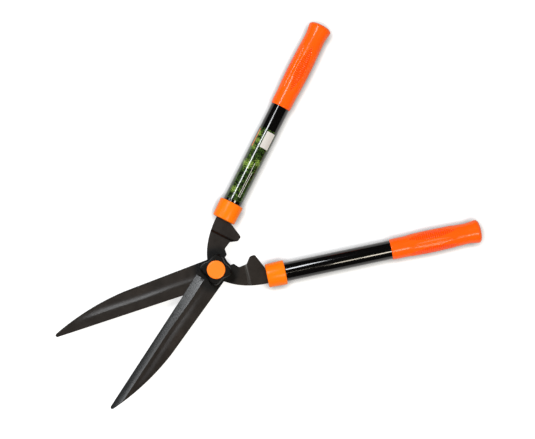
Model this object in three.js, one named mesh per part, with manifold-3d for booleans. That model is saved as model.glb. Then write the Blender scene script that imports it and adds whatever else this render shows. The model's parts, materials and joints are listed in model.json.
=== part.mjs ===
// Hand-operated hedge shears, in millimetres, +Z up.
// The origin is on the pivot axis, at the flat underside of the bolt head. +X runs along the axis of
// symmetry towards the handles and the blades point to -X. The right half, whose handle is at +Y, lies
// on top. Both halves are one forging: the right one is turned over about X.
// A half is drawn closed, with its tip on -X and its handle at -Y, and z = 0 midway between the blades.

import * as THREE from 'three';
import { mergeVertices } from 'three/addons/utils/BufferGeometryUtils.js';
import Module from 'manifold-3d';

const wasm = await Module();
wasm.setup();

const radians = THREE.MathUtils.degToRad;

// ---- driving dimensions ----

// How far each half is swung open from closed.
const openAngle = radians(15.2);

// Clearances.
const seat = 0.3; // between pieces that sit on or in each other
const running = 0.08; // round a turning shaft
const bladeGap = 0.3; // between the two blades' flat faces

// Blade.
const plateThickness = 3;
const bladeLength = 222.3; // pivot to nose
const hubRadius = 17.8; // the cutting edge's line is tangent to the hub
const tipOverlap = 2; // how far the edges have crossed at the tips when closed
const bellyStation = 118; // where the spine is furthest out, from the pivot
const bellyHeight = 19.65;
const spineRootAngle = radians(110); // where the spine leaves the hub
const noseHeight = 4.7; // across the blunt nose
const noseReach = 1.8; // how far the nose bulges past its ends
const edgeThickness = 0.8;
const bevelWidth = 9.8;
const bevelStart = 18; // along the edge, from the pivot's foot
const bevelRunIn = 0.8;
const landWidth = 12.4; // edge to the start of the pressed slope
const slopeWidth = 5.5;
const pressDepth = 1.6; // how far the spine side is pressed outwards
const hollowStart = 19.5;
const hollowRun = 5.5;
const fadeStart = 148;
const fadeRun = 40;

// Arm, from the hub out to the tang.
const armRootAngle = radians(-78);
const armBellyRun = 29; // along the handle, where the outer edge's two tangents meet
const ledgeReach = 1.8; // past the hub radius
const ledgeDrop = 1; // below the axis of symmetry
const ledgeWidth = 4.2;
const stepRun = 4.4;
const notchDepth = 6.8; // below the ledge
const notchWidth = 10.7;
const lugRun = 7.2;
const lugGap = 0.4; // each lug's top to the axis of symmetry
const lugWidth = 6.9;
const flankRun = 5.8;
const innerShoulder = 2.3; // arm past the tang, on the lug's side
const outerShoulder = 1.1;
const joggleInset = 19.5; // from the shoulder back to the middle of the joggle
const joggleRun = 2.6;
const ledgeTopRound = 0.5; // fillets of the forging's corners
const ledgeRound = 3;
const notchRound = 2.5;
const lugRound = 3.2;
const shoulderRound = 0.8;
const tangRound = 3;

// Handle.
const handleAngle = radians(10.45);
const handleOffset = 21; // tube axis to pivot
const handleEnd = 342.8; // pivot's foot to the end of the grip
const tubeRadius = 12;
const tubeWall = 1.2;
const plugSideWall = 1.7;
const plugLength = 33;
const tangTip = 2; // tang past the end of the plug
const collarLength = 24.2;
const collarEndWall = 3;
const collarMouthRadius = 15.2;
const collarRearRadius = 15.9;
const collarRound = 1;
const pinRadius = 2;
const pinInset = 6; // from the tube's front end
const pinSpacing = 8;
const pinRecess = 0.3; // pin end below the tube's surface
const gripLength = 118;
const gripMouthWall = 0.9;
const gripMouthRound = 1;
const gripBandRadius = 13.5;
const gripBandStart = 9; // from the mouth
const gripBandEnd = 19;
const gripSwellRadius = 14.6;
const gripSwellStart = 44; // from the mouth
const gripSwellEnd = 62;
const gripWaistRadius = 13.5;
const gripWaistStart = 23; // from the end
const gripWaistEnd = 15.5;
const gripFlareRadius = 15;
const gripEndRound = 6; // across the handle
const gripEndRise = 4.8; // along the handle
const gripEndWall = 7;
const labelInset = 3.8; // bare tube between collar and label
const bareTube = 33.8; // bare tube between label and grip
const labelGap = 0.1;
const labelThickness = 0.2;

// Pivot.
const headRadius = 11;
const headHeight = 3;
const headChamfer = 1;
const neckWidth = 8;
const boltRadius = 4;
const bushWall = 1.5;
const flangeRadius = 10;
const flangeHeight = 1.2;
const springRadius = 9.5;
const springThickness = 0.9;
const springRise = 0.9;
const washerRadius = 10;
const washerHeight = 1.2;
const nutWidth = 13; // across flats
const nutHeight = 6.5;
const boltPastNut = 1;
const knobLobes = 4;
const knobPeak = 20.9;
const knobValley = 15.4;
const knobWeb = 1.6; // over the nut
const knobRound = 1.6;
const knobTurn = radians(45); // first lobe from +X
const capRadius = 11.7;
const capHeight = 2.2;
const capSunk = 1.2;
const capRound = 0.85;
const spigotRadius = 7;
const spigotLength = 2;

// ---- derived dimensions ----

const notchStart = hubRadius + ledgeReach + ledgeWidth + stepRun;
const lugStart = notchStart + notchWidth + lugRun;
const flankFoot = lugStart + lugWidth + flankRun;
const tubeBore = tubeRadius - tubeWall;
const plugRadius = tubeBore - seat;
const tangHalfWidth = plugRadius - plugSideWall - seat;
const shoulderStation = handleStation(flankFoot, tangHalfWidth + innerShoulder);
const collarStart = shoulderStation + seat;
const collarEnd = collarStart + collarLength;
const tubeStart = collarStart + collarEndWall + seat;
const tubeEnd = handleEnd - gripEndWall - seat;
const plugEnd = tubeStart + plugLength;
const tangEnd = plugEnd + tangTip;
const gripStart = handleEnd - gripLength;
const pinStations = [tubeStart + pinInset, tubeStart + pinInset + pinSpacing];
const joggleMiddle = shoulderStation - joggleInset;
const edgeAngle = Math.asin(hubRadius / Math.hypot(bladeLength, tipOverlap))
  - Math.atan2(tipOverlap, bladeLength);

// Levels, from the underside of the bolt head up.
const lowerPlate = headHeight + seat;
const middle = lowerPlate + plateThickness + bladeGap / 2;
const upperPlate = middle + bladeGap / 2;
const flangeLevel = upperPlate + plateThickness + seat;
const springLevel = flangeLevel + flangeHeight + seat;
const washerLevel = springLevel + springThickness + springRise + seat;
const knobLevel = washerLevel + washerHeight + seat;
const nutTop = knobLevel + nutHeight;
const boltTop = nutTop + boltPastNut;
const webTop = nutTop + seat + knobWeb;
const capLevel = webTop + spigotLength + seat;
const knobTop = capLevel + capSunk;

const bushBore = boltRadius + running;
const bushRadius = bushBore + bushWall;

// How far cutting tools run past what they cut, and past the plates.
const overshoot = 1;
const plateReach = 3 * plateThickness;

// Sides of the fine round faces.
const fineSegments = 40;

// ---- materials ----

const coatedSteel = () => new THREE.MeshStandardMaterial({ color: 0x2a2624, roughness: 0.5, metalness: 0.6 });
const glossBlack = () => new THREE.MeshStandardMaterial({ color: 0x0b0b0d, roughness: 0.2, metalness: 0.2 });
const plainSteel = () => new THREE.MeshStandardMaterial({ color: 0xa8abb0, roughness: 0.35, metalness: 1 });
const brass = () => new THREE.MeshStandardMaterial({ color: 0xb08d48, roughness: 0.35, metalness: 1 });
const orangeGrip = () => new THREE.MeshStandardMaterial({ color: 0xff5a14, roughness: 0.45, metalness: 0 });
const orangeShell = () => new THREE.MeshStandardMaterial({ color: 0xff7d0e, roughness: 0.4, metalness: 0 });
const blackPlastic = () => new THREE.MeshStandardMaterial({ color: 0x111112, roughness: 0.5, metalness: 0 });
const greyPlastic = () => new THREE.MeshStandardMaterial({ color: 0x55575a, roughness: 0.6, metalness: 0 });
const printedFilm = () => new THREE.MeshStandardMaterial({ color: 0x2f5a2a, roughness: 0.35, metalness: 0 });

// ---- helpers ----

// Distance along the handle of the point at x whose offset from the tube axis is side.
function handleStation(x, side) {
  return (x + (handleOffset - side) * Math.sin(handleAngle)) / Math.cos(handleAngle);
}

// A point given along and across the handle, in the half's frame.
function onHandle(along, side) {
  const across = side - handleOffset;
  return [
    along * Math.cos(handleAngle) + across * Math.sin(handleAngle),
    across * Math.cos(handleAngle) - along * Math.sin(handleAngle),
  ];
}

// A geometry as a manifold solid: only positions, shared vertices merged, no collapsed triangles.
function toSolid(geometry) {
  const bare = geometry.clone();
  bare.deleteAttribute('normal');
  bare.deleteAttribute('uv');
  const merged = mergeVertices(bare, 1e-4);
  const index = merged.index.array;
  const kept = [];
  for (let i = 0; i < index.length; i += 3) {
    const [a, b, c] = [index[i], index[i + 1], index[i + 2]];
    if (a !== b && b !== c && c !== a) kept.push(a, b, c);
  }
  return new wasm.Manifold(new wasm.Mesh({
    numProp: 3,
    vertProperties: new Float32Array(merged.attributes.position.array),
    triVerts: new Uint32Array(kept),
  }));
}

function fromSolid(solid) {
  const mesh = solid.getMesh();
  const geometry = new THREE.BufferGeometry();
  geometry.setAttribute('position', new THREE.BufferAttribute(new Float32Array(mesh.vertProperties), 3));
  geometry.setIndex(new THREE.BufferAttribute(new Uint32Array(mesh.triVerts), 1));
  geometry.computeVertexNormals();
  return geometry;
}

function cut(geometry, ...tools) {
  return fromSolid(tools.reduce((solid, tool) => solid.subtract(toSolid(tool)), toSolid(geometry)));
}

// Extrudes a shape from z = bottom to z = top.
function prism(shape, bottom, top, curveSegments = 16) {
  const options = { depth: top - bottom, bevelEnabled: false, curveSegments };
  return new THREE.ExtrudeGeometry(shape, options).translate(0, 0, bottom);
}

function rectangle(width, height) {
  const [x, y] = [width / 2, height / 2];
  return new THREE.Shape([[-x, -y], [x, -y], [x, y], [-x, y]].map(([a, b]) => new THREE.Vector2(a, b)));
}

// An upright cylinder from z = bottom to z = top.
function upright(radius, bottom, top, segments = 24) {
  const height = top - bottom;
  return new THREE.CylinderGeometry(radius, radius, height, segments)
    .rotateX(Math.PI / 2)
    .translate(0, 0, bottom + height / 2);
}

// Turns a closed outline of [radius, z] points about +Z.
function turnUpright(outline, segments = 32) {
  return turn(outline, segments).rotateX(Math.PI / 2);
}

// Turns a closed outline of [radius, station] points about +X.
function turnAlong(outline, segments = 32) {
  return turn(outline, segments).rotateZ(-Math.PI / 2);
}

function turn(outline, segments) {
  const points = outline.map(([radius, height]) => new THREE.Vector2(radius, height));
  return new THREE.LatheGeometry(points, segments);
}

// A ring's section, ready to be turned.
function ring(inner, outer, bottom, top) {
  return [[inner, bottom], [outer, bottom], [outer, top], [inner, top], [inner, bottom]];
}

// Runs a path through corners given as [x, y, fillet radius], with each corner rounded.
function roundedCorners(path, from, corners, to) {
  const points = [from, ...corners, to].map(([x, y]) => new THREE.Vector2(x, y));
  corners.forEach(([x, y, radius], i) => {
    const corner = points[i + 1];
    const back = points[i].clone().sub(corner);
    const onward = points[i + 2].clone().sub(corner);
    const room = Math.min(back.length(), onward.length()) / 2;
    const trim = Math.min(radius / Math.tan(back.angleTo(onward) / 2), room);
    back.normalize();
    onward.normalize();
    path.lineTo(x + back.x * trim, y + back.y * trim);
    path.quadraticCurveTo(x, y, x + onward.x * trim, y + onward.y * trim);
  });
  path.lineTo(...to);
}

// A plate formed over a grid of xs and ys, between the heights low(x, y) and high(x, y).
function formedPlate(xs, ys, low, high) {
  const positions = [];
  for (const surface of [low, high]) {
    for (const x of xs) {
      for (const y of ys) positions.push(x, y, surface(x, y));
    }
  }
  const layer = xs.length * ys.length;
  const at = (i, j, level) => level * layer + i * ys.length + j;
  const index = [];
  const quad = (a, b, c, d) => index.push(a, b, c, a, c, d);
  for (let i = 0; i < xs.length - 1; i += 1) {
    for (let j = 0; j < ys.length - 1; j += 1) {
      quad(at(i, j, 1), at(i + 1, j, 1), at(i + 1, j + 1, 1), at(i, j + 1, 1));
      quad(at(i, j, 0), at(i, j + 1, 0), at(i + 1, j + 1, 0), at(i + 1, j, 0));
    }
    const last = ys.length - 1;
    quad(at(i, 0, 0), at(i + 1, 0, 0), at(i + 1, 0, 1), at(i, 0, 1));
    quad(at(i + 1, last, 0), at(i, last, 0), at(i, last, 1), at(i + 1, last, 1));
  }
  for (let j = 0; j < ys.length - 1; j += 1) {
    const last = xs.length - 1;
    quad(at(0, j + 1, 0), at(0, j, 0), at(0, j, 1), at(0, j + 1, 1));
    quad(at(last, j, 0), at(last, j + 1, 0), at(last, j + 1, 1), at(last, j, 1));
  }
  const geometry = new THREE.BufferGeometry();
  geometry.setAttribute('position', new THREE.Float32BufferAttribute(positions, 3));
  geometry.setIndex(index);
  return geometry;
}

// Steps from start over run, ends included.
function stations(start, run, steps) {
  return Array.from({ length: steps + 1 }, (_, i) => start + (run * i) / steps);
}

function named(name, geometry, material) {
  const mesh = new THREE.Mesh(geometry, material);
  mesh.name = name;
  return mesh;
}

// ---- blade forging ----

// The flat outline of blade, hub, arm and tang.
function forgingOutline() {
  const shape = new THREE.Shape();
  const edgeNose = [-bladeLength + noseReach, -tipOverlap];
  const spineNose = [-bladeLength + noseReach, noseHeight - tipOverlap];
  const ledge = [hubRadius + ledgeReach, -ledgeDrop];
  const tangentAngle = ledgeTangentAngle(ledge);

  shape.moveTo(...edgeNose);
  shape.absarc(0, 0, hubRadius, -Math.PI / 2 - edgeAngle, armRootAngle, false);
  const outerSide = -tangHalfWidth - outerShoulder;
  const armFoot = onHandle(shoulderStation, outerSide);
  shape.quadraticCurveTo(...onHandle(armBellyRun, outerSide), ...armFoot);
  const tangCorners = [
    [...onHandle(shoulderStation, -tangHalfWidth), shoulderRound],
    [...onHandle(tangEnd, -tangHalfWidth), tangRound],
    [...onHandle(tangEnd, tangHalfWidth), tangRound],
    [...onHandle(shoulderStation, tangHalfWidth), shoulderRound],
    [...onHandle(shoulderStation, tangHalfWidth + innerShoulder), shoulderRound],
  ];
  const notchFloor = -ledgeDrop - notchDepth;
  const lugCorners = [
    [lugStart + lugWidth, -lugGap, lugRound],
    [lugStart, -lugGap, lugRound],
    [notchStart + notchWidth, notchFloor, notchRound],
    [notchStart, notchFloor, notchRound],
    [ledge[0] + ledgeWidth, ledge[1], ledgeRound],
    [...ledge, ledgeTopRound],
  ];
  const hubPoint = [hubRadius * Math.cos(tangentAngle), hubRadius * Math.sin(tangentAngle)];
  roundedCorners(shape, armFoot, [...tangCorners, ...lugCorners], hubPoint);
  shape.absarc(0, 0, hubRadius, tangentAngle, spineRootAngle, false);
  shape.lineTo(-bellyStation, bellyHeight);
  shape.quadraticCurveTo((spineNose[0] - bellyStation) / 2, bellyHeight, ...spineNose);
  shape.quadraticCurveTo(-bladeLength - noseReach, noseHeight / 2 - tipOverlap, ...edgeNose);
  return shape;
}

// Where the straight edge above the ledge touches the hub.
function ledgeTangentAngle([x, y]) {
  return Math.atan2(y, x) + Math.acos(hubRadius / Math.hypot(x, y));
}

// The blade side: u runs along the cutting edge towards the tip, t from the edge to the spine.
function bladeSheet() {
  const press = (u, t) => {
    const across = THREE.MathUtils.smoothstep(t, landWidth, landWidth + slopeWidth);
    const along = THREE.MathUtils.smoothstep(u, hollowStart, hollowStart + hollowRun)
      - THREE.MathUtils.smoothstep(u, fadeStart, fadeStart + fadeRun);
    return pressDepth * across * along;
  };
  const ground = (u, t) => {
    if (t >= bevelWidth || u <= bevelStart) return 0;
    const started = Math.min((u - bevelStart) / bevelRunIn, 1);
    return (plateThickness - edgeThickness) * (1 - t / bevelWidth) * started;
  };
  const inner = (u, t) => -bladeGap / 2 - press(u, t);
  const outer = (u, t) => inner(u, t) - plateThickness + ground(u, t);
  const us = [
    -hubRadius / 2,
    bevelStart,
    bevelStart + bevelRunIn,
    ...stations(hollowStart, hollowRun, 4),
    ...stations(fadeStart, fadeRun, 8),
    bladeLength + hubRadius,
  ];
  const ts = [
    -overshoot,
    bevelWidth,
    ...stations(landWidth, slopeWidth, 5),
    2 * (hubRadius + bellyHeight),
  ];
  const toEdge = (surface) => (x, y) => surface(-x, y + hubRadius);
  return formedPlate(
    us.map((u) => -u).reverse(),
    ts.map((t) => t - hubRadius),
    toEdge(outer),
    toEdge(inner),
  ).rotateZ(-edgeAngle);
}

// The arm side: flat at the hub, then joggled so that the tang lies midway between the blades.
function armSheet() {
  const rise = (plateThickness + bladeGap) / 2;
  const shift = (plateThickness / 2) * Math.tan(Math.atan2(rise, joggleRun) / 2);
  const ramp = (along, middleOfRamp) => {
    const start = middleOfRamp - joggleRun / 2;
    return rise * THREE.MathUtils.clamp((along - start) / joggleRun, 0, 1);
  };
  const base = -bladeGap / 2 - plateThickness;
  const low = (along) => base + ramp(along, joggleMiddle + shift);
  const high = (along) => base + plateThickness + ramp(along, joggleMiddle - shift);
  const bends = [-shift, shift].flatMap((offset) => stations(joggleMiddle + offset, joggleRun, 1));
  const alongs = [-hubRadius / 2, ...bends.map((s) => s - joggleRun / 2), tangEnd + overshoot];
  alongs.sort((a, b) => a - b);
  const reach = 2 * (handleOffset + tubeRadius);
  return formedPlate(alongs, [-reach, reach], low, high).rotateZ(-handleAngle);
}

function forging(pivotHole) {
  const outline = toSolid(prism(forgingOutline(), -plateReach, plateReach, 18));
  const sheet = toSolid(bladeSheet()).add(toSolid(armSheet()));
  const pins = pinStations.map((along) => {
    const [x, y] = onHandle(along, 0);
    return upright(pinRadius + seat, -plateReach, plateReach).translate(x, y, 0);
  });
  return cut(fromSolid(outline.intersect(sheet)), pivotHole, ...pins);
}

function squareHole() {
  const width = neckWidth + 2 * seat;
  return prism(rectangle(width, width), -plateReach, plateReach);
}

function bushHole() {
  return upright(bushRadius + seat, -plateReach, plateReach, fineSegments);
}

// ---- handle pieces, along +X from the pivot's foot on the tube axis ----

function crossHoles() {
  const reach = tubeRadius + overshoot;
  return pinStations.map((along) => upright(pinRadius + seat, -reach, reach).translate(along, 0, 0));
}

function tube() {
  return cut(turnAlong(ring(tubeBore, tubeRadius, tubeStart, tubeEnd)), ...crossHoles());
}

// Opening for the flat tang, from one station to another.
function tangSlot(from, to) {
  const [width, height] = [2 * (tangHalfWidth + seat), plateThickness + 2 * seat];
  return new THREE.BoxGeometry(to - from, width, height).translate((from + to) / 2, 0, 0);
}

function tangPlug() {
  const body = turnAlong([[0, tubeStart], [plugRadius, tubeStart], [plugRadius, plugEnd], [0, plugEnd]]);
  return cut(body, tangSlot(tubeStart - overshoot, plugEnd + overshoot), ...crossHoles());
}

function crossPin() {
  const half = Math.sqrt(tubeRadius ** 2 - pinRadius ** 2) - pinRecess;
  return upright(pinRadius, -half, half);
}

function collar() {
  const bore = tubeRadius + seat;
  const body = turnAlong([
    [0, collarStart],
    [collarMouthRadius - collarRound, collarStart],
    [collarMouthRadius, collarStart + collarRound],
    [collarRearRadius, collarEnd - collarRound],
    [collarRearRadius - collarRound, collarEnd],
    [bore, collarEnd],
    [bore, collarStart + collarEndWall],
    [0, collarStart + collarEndWall],
  ]);
  return cut(body, tangSlot(collarStart - overshoot, collarStart + collarEndWall + overshoot));
}

// The grip's outer profile swells behind the mouth, narrows at the waist and flares at the end.
function grip() {
  const bore = tubeRadius + seat;
  const round = stations(0, Math.PI / 2, 3).map((angle) => [
    gripFlareRadius - gripEndRound * (1 - Math.cos(angle)),
    handleEnd - gripEndRise * (1 - Math.sin(angle)),
  ]);
  const side = new THREE.SplineCurve([
    [bore + gripMouthWall, gripStart + gripMouthRound],
    [gripBandRadius, gripStart + gripBandStart],
    [gripBandRadius, gripStart + gripBandEnd],
    [gripSwellRadius, gripStart + gripSwellStart],
    [gripSwellRadius, gripStart + gripSwellEnd],
    [gripWaistRadius, handleEnd - gripWaistStart],
    [gripWaistRadius, handleEnd - gripWaistEnd],
    ...round,
  ].map(([radius, station]) => new THREE.Vector2(radius, station)));
  const outer = side.getPoints(20).map(({ x, y }) => [x, y]);
  const inner = [[0, handleEnd], [0, tubeEnd + seat], [bore, tubeEnd + seat], [bore, gripStart]];
  return turnAlong([[bore, gripStart], ...outer, ...inner]);
}

function label() {
  const inner = tubeRadius + labelGap;
  return turnAlong(ring(inner, inner + labelThickness, collarEnd + labelInset, gripStart - bareTube));
}

function handle(side) {
  const group = new THREE.Group();
  group.position.set(...onHandle(0, 0), 0);
  group.rotation.z = -handleAngle;
  group.add(named(`${side}_tube`, tube(), glossBlack()));
  group.add(named(`${side}_tang_plug`, tangPlug(), greyPlastic()));
  group.add(named(`${side}_collar`, collar(), orangeShell()));
  group.add(named(`${side}_grip`, grip(), orangeGrip()));
  ['front', 'rear'].forEach((place, i) => {
    const pin = named(`${side}_pin_${place}`, crossPin(), plainSteel());
    pin.position.x = pinStations[i];
    group.add(pin);
  });
  return group;
}

// ---- pivot pieces, at their levels above the underside of the bolt head ----

function pivotBolt() {
  const neckTop = lowerPlate + plateThickness;
  const head = toSolid(turnUpright([
    [0, 0],
    [headRadius - headChamfer, 0],
    [headRadius, headChamfer],
    [headRadius, headHeight],
    [0, headHeight],
  ]));
  const neck = toSolid(prism(rectangle(neckWidth, neckWidth), headHeight / 2, neckTop));
  const shank = toSolid(upright(boltRadius, headHeight / 2, boltTop, fineSegments));
  return fromSolid(head.add(neck).add(shank));
}

function pivotBush() {
  return turnUpright([
    [bushBore, upperPlate + seat],
    [bushRadius, upperPlate + seat],
    [bushRadius, flangeLevel],
    [flangeRadius, flangeLevel],
    [flangeRadius, flangeLevel + flangeHeight],
    [bushBore, flangeLevel + flangeHeight],
    [bushBore, upperPlate + seat],
  ]);
}

function discSpring() {
  const inner = boltRadius + seat;
  return turnUpright([
    [springRadius, springLevel],
    [springRadius, springLevel + springThickness],
    [inner, springLevel + springThickness + springRise],
    [inner, springLevel + springRise],
    [springRadius, springLevel],
  ]);
}

function pressureWasher() {
  return turnUpright(ring(boltRadius + seat, washerRadius, washerLevel, washerLevel + washerHeight));
}

function hexagon(width) {
  const radius = width / Math.sqrt(3);
  return new THREE.Shape(stations(0, 2 * Math.PI, 6).slice(0, 6)
    .map((angle) => new THREE.Vector2(radius * Math.cos(angle), radius * Math.sin(angle))));
}

function knobNut() {
  const bore = upright(boltRadius + running, knobLevel - overshoot, boltTop, fineSegments);
  return cut(prism(hexagon(nutWidth), knobLevel, nutTop), bore);
}

// The knob's outline is a wave round a circle, drawn inwards by the rounding of its rims.
function knobOutline() {
  const mean = (knobPeak + knobValley) / 2 - knobRound;
  const wave = (knobPeak - knobValley) / 2;
  const points = stations(0, 2 * Math.PI, 12 * knobLobes).slice(0, -1).map((angle) => {
    const radius = mean + wave * Math.cos(knobLobes * angle);
    return new THREE.Vector2(radius * Math.cos(angle), radius * Math.sin(angle));
  });
  return new THREE.Shape(points);
}

function tensionKnob() {
  const options = {
    depth: knobTop - knobLevel - 2 * knobRound,
    bevelThickness: knobRound,
    bevelSize: knobRound,
    bevelSegments: 2,
  };
  const body = new THREE.ExtrudeGeometry(knobOutline(), options).translate(0, 0, knobLevel + knobRound);
  return cut(
    body,
    prism(hexagon(nutWidth + 2 * seat), knobLevel - overshoot, nutTop + seat),
    upright(boltRadius + seat, knobLevel, knobTop),
    upright(spigotRadius + seat, webTop, knobTop + overshoot),
    upright(capRadius + seat, capLevel - seat, knobTop + overshoot, fineSegments),
  );
}

function knobCap() {
  const spigotFoot = capLevel - spigotLength;
  const top = capLevel + capHeight;
  const rim = stations(0, Math.PI / 2, 2).map((angle) => [
    capRadius - capRound * (1 - Math.cos(angle)),
    top - capRound * (1 - Math.sin(angle)),
  ]);
  return turnUpright([
    [0, spigotFoot],
    [spigotRadius, spigotFoot],
    [spigotRadius, capLevel],
    [capRadius, capLevel],
    ...rim,
    [0, top],
  ], fineSegments);
}

// ---- assembly ----

function half(side, pivotHole, itsHandle) {
  const group = new THREE.Group();
  group.add(named(`${side}_blade`, forging(pivotHole), coatedSteel()), itsHandle);
  return group;
}

function leftHalf() {
  const group = half('left', squareHole(), handle('left'));
  group.position.z = middle;
  group.rotation.z = -openAngle;
  return group;
}

function rightHalf() {
  const labelled = handle('right');
  labelled.add(named('tube_label', label(), printedFilm()));
  const turnedOver = half('right', bushHole(), labelled);
  turnedOver.rotation.x = Math.PI;
  const group = new THREE.Group();
  group.position.z = middle;
  group.rotation.z = openAngle;
  group.add(turnedOver);
  return group;
}

// The bolt's square neck lies square in the left blade, so the bolt turns with it.
function pivot() {
  const group = new THREE.Group();
  const bolt = named('pivot_bolt', pivotBolt(), plainSteel());
  bolt.rotation.z = -openAngle;
  const knob = new THREE.Group();
  knob.rotation.z = knobTurn;
  knob.add(named('tension_knob', tensionKnob(), blackPlastic()));
  knob.add(named('knob_nut', knobNut(), plainSteel()));
  knob.add(named('knob_cap', knobCap(), orangeShell()));
  group.add(bolt, knob);
  group.add(named('pivot_bush', pivotBush(), brass()));
  group.add(named('disc_spring', discSpring(), plainSteel()));
  group.add(named('pressure_washer', pressureWasher(), plainSteel()));
  return group;
}

const shears = new THREE.Group();
shears.add(leftHalf(), rightHalf(), pivot());

export default shears;
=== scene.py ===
"""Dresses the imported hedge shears: finished pieces, their materials, and a plain studio stage."""

import json
import math

import bpy
from bpy.props import FloatProperty, FloatVectorProperty, IntProperty, PointerProperty
from bpy.types import Operator, Panel, PropertyGroup
from mathutils import Matrix, Vector


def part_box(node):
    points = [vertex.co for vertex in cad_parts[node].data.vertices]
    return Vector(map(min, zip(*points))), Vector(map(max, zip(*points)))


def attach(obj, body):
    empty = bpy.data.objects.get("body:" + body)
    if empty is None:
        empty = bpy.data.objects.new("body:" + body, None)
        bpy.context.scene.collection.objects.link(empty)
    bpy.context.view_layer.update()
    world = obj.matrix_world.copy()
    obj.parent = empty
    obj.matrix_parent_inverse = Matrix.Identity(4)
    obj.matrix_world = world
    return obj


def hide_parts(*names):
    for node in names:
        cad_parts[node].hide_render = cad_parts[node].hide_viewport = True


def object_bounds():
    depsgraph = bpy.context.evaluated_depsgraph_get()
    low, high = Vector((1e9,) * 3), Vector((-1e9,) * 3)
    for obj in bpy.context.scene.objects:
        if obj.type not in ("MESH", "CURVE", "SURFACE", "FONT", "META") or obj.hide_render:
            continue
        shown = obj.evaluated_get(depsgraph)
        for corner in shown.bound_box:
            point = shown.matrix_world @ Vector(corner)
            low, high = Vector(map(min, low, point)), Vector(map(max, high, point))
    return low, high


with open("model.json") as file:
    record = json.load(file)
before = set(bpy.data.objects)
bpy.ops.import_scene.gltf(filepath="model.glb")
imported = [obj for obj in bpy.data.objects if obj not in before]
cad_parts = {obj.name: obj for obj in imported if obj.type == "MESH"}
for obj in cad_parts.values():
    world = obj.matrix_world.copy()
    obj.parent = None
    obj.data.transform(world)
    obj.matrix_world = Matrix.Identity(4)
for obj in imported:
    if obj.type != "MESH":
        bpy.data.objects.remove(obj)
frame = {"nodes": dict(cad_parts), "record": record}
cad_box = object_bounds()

bl_info = {
    "name": "Hedge Shears",
    "version": (1, 0, 0),
    "blender": (4, 5, 0),
    "location": "3D View > Sidebar > Shears",
    "description": "Models and finishes a pair of two-handed hedge shears",
    "category": "Object",
}

MM = 0.001
SIDES = ("left", "right")
NODES = frame["nodes"]
BODIES = {
    node: body for body, nodes in frame["record"]["behaviour"]["bodies"].items() for node in nodes
}
TOUCHING = 0.01 * MM  # two places this close are one
MERGING = 0.001 * MM  # corners this close are merged
SEAT = 0.3 * MM  # between pieces that sit in each other
FLAT = math.radians(0.5)  # faces that lean less are joined
FACING = 0.5  # how much of a normal points the way that a face looks
WORLD = Matrix.Identity(4)


# ---- settings ----


def length(name, description, millimetres):
    words = {"name": name, "description": description}
    return FloatProperty(default=millimetres * MM, min=0, unit="LENGTH", precision=5, **words)


def angle(name, description, degrees):
    words = {"name": name, "description": description}
    return FloatProperty(default=math.radians(degrees), subtype="ANGLE", **words)


def colour(name, description, value):
    words = {"name": name, "description": description}
    return FloatVectorProperty(default=value, min=0, max=1, size=3, subtype="COLOR", **words)


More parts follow.
